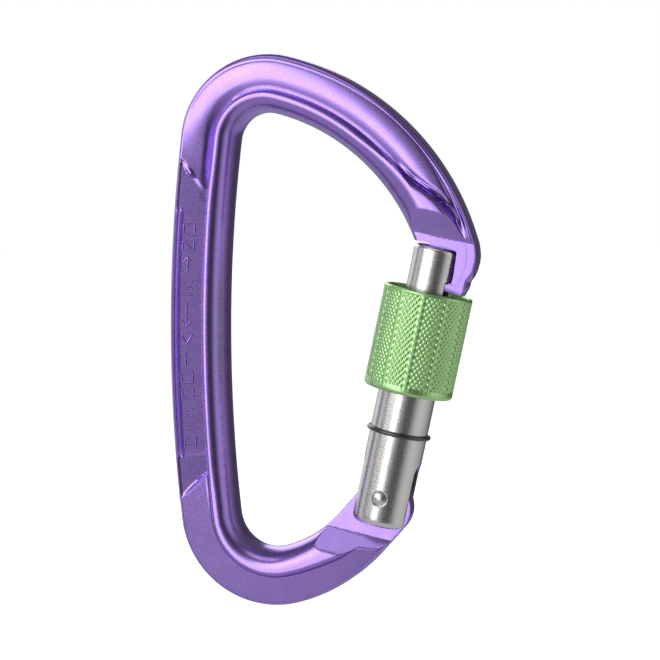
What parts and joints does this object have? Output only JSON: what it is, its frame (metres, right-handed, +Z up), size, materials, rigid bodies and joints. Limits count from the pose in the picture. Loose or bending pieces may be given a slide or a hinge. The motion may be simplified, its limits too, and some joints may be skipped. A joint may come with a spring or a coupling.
{
  "type": "locking carabiner",
  "caption": "D-shaped locking carabiner with a forged purple frame, a sprung keylock gate and a knurled green screw sleeve.",
  "frame": {"origin": "top basket: highest point of the frame's inner edge, on which the carabiner hangs, in the mid-plane", "axes": "+Z up along the spine as it hangs, +X from the spine towards the gate, Y through the thickness"},
  "size_m": [0.0568, 0.016, 0.1002],
  "materials": {
    "frame_anodised": "purple anodised over a tumbled forging, satin",
    "gate_aluminium": "turned and tumbled, clear, satin",
    "rivet_steel": "plain stainless steel, peened",
    "spring_steel": "drawn spring wire",
    "plunger_brass": "turned",
    "sleeve_anodised": "green anodised, diamond knurl, satin",
    "ring_steel": "dark spring steel"
  },
  "bodies": {
    "root": {"frame": "frame_anodised"},
    "gate": {"gate_barrel": "gate_aluminium", "hinge_rivet": "rivet_steel", "gate_spring": "spring_steel", "stop_ring": "ring_steel"},
    "plunger": {"plunger": "plunger_brass"},
    "sleeve": {"screw_sleeve": "sleeve_anodised"}
  },
  "joints": [
    {"name": "gate_hinge", "type": "hinge", "parent": "root", "child": "gate", "pos_m": [0.02158, 0, -0.06915], "axis": [0, -1, 0], "range_deg": [0, 26], "stiffness_Nm_per_rad": 0.5, "springref_deg": -34.38},
    {"name": "plunger_slide", "type": "slide", "parent": "gate", "child": "plunger", "axis": [0.2096, 0, 0.9778], "range_m": [0, 0.000726], "deforming": ["gate_spring"]},
    {"name": "sleeve_screw", "type": "slide", "parent": "gate", "child": "sleeve", "axis": [0.2096, 0, 0.9778], "range_m": [-0.0069, 0.003]}
  ],
  "couplings": [
    {"joint": "plunger_slide", "follows": "gate_hinge", "m_per_rad": 0.0016}
  ]
}
